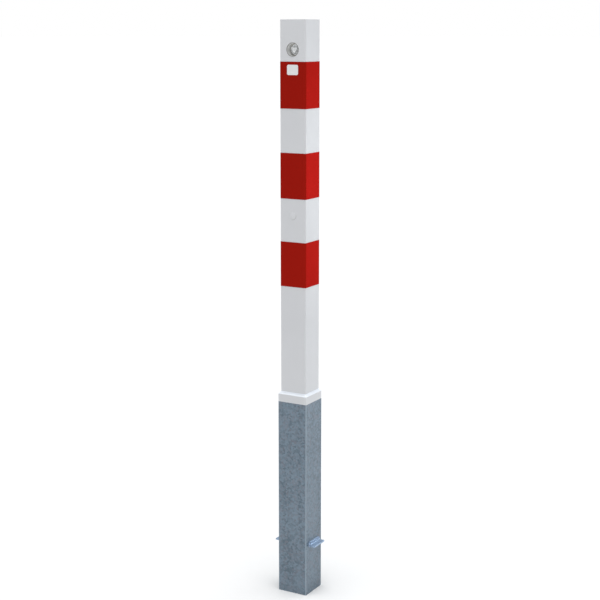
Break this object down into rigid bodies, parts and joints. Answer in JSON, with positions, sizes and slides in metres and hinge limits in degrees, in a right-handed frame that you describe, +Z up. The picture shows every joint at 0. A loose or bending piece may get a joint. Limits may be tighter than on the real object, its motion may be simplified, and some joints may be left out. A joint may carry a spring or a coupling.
{
  "type": "removable barrier post",
  "caption": "Square removable barrier post with red bands and a triangular-key lock whose rod shoots a bolt into a galvanised ground sleeve with welded anchors.",
  "frame": {"origin": "centre of the ground sleeve's bottom edge", "axes": "+Z up along the post, -Y out of the face with the key lock, -X the way the bolt shoots"},
  "size_m": [0.114, 0.08, 1.43],
  "materials": {
    "galvanised": "hot-dip galvanised steel with a fine spangle",
    "white_powder_coat": "white powder coat, satin, slight orange peel",
    "red_film": "red reflective film, satin",
    "label_film": "plain white self-adhesive label",
    "lock_steel": "zinc-plated steel tube, turned",
    "key_steel": "turned and zinc-plated steel",
    "bush_bronze": "sintered bronze",
    "inner_steel": "zinc-plated steel"
  },
  "bodies": {
    "sleeve": {"ground_sleeve": "galvanised", "anchor_right": "galvanised", "anchor_left": "galvanised", "bolt_pocket": "galvanised"},
    "post": {"post_tube": "white_powder_coat", "top_cap": "white_powder_coat", "foot_plate": "white_powder_coat", "collar": "white_powder_coat", "red_band_top": "red_film", "red_band_middle": "red_film", "red_band_bottom": "red_film", "blank_label": "label_film", "lock_housing": "lock_steel", "spindle_bush": "bush_bronze", "upper_rod_guide": "inner_steel", "guide_rivet": "white_powder_coat", "lower_rod_guide": "inner_steel", "bolt_guide": "inner_steel"},
    "spindle": {"key_spindle": "key_steel", "thrust_washer": "inner_steel", "spindle_circlip": "inner_steel", "crank_disc": "inner_steel", "crank_pin": "inner_steel"},
    "rod": {"yoke_plate": "inner_steel", "upper_clevis": "inner_steel", "upper_clevis_pin": "inner_steel", "upper_pin_clip": "inner_steel", "upper_locknut": "inner_steel", "pull_rod": "inner_steel", "lower_locknut": "inner_steel", "lower_clevis": "inner_steel", "lower_clevis_pin": "inner_steel", "lower_pin_clip": "inner_steel", "cam_plate": "inner_steel"},
    "bolt": {"lock_bolt": "key_steel", "bolt_pin": "inner_steel"}
  },
  "joints": [
    {"name": "post_lift", "type": "slide", "parent": "sleeve", "child": "post", "axis": [0, 0, 1], "range_m": [0, 0.28]},
    {"name": "key_turn", "type": "hinge", "parent": "post", "child": "spindle", "pos_m": [0, -0.0205, 1.36], "axis": [0, -1, 0], "range_deg": [0, 90]},
    {"name": "rod_rise", "type": "slide", "parent": "post", "child": "rod", "axis": [0, 0, 1], "range_m": [0, 0.01414]},
    {"name": "bolt_shot", "type": "slide", "parent": "post", "child": "bolt", "axis": [-1, 0, 0], "range_m": [0, 0.01415]}
  ],
  "couplings": [
    {"joint": "key_turn", "follows": "rod_rise", "rad_per_m": 111.07},
    {"joint": "bolt_shot", "follows": "rod_rise", "ratio": 1}
  ]
}
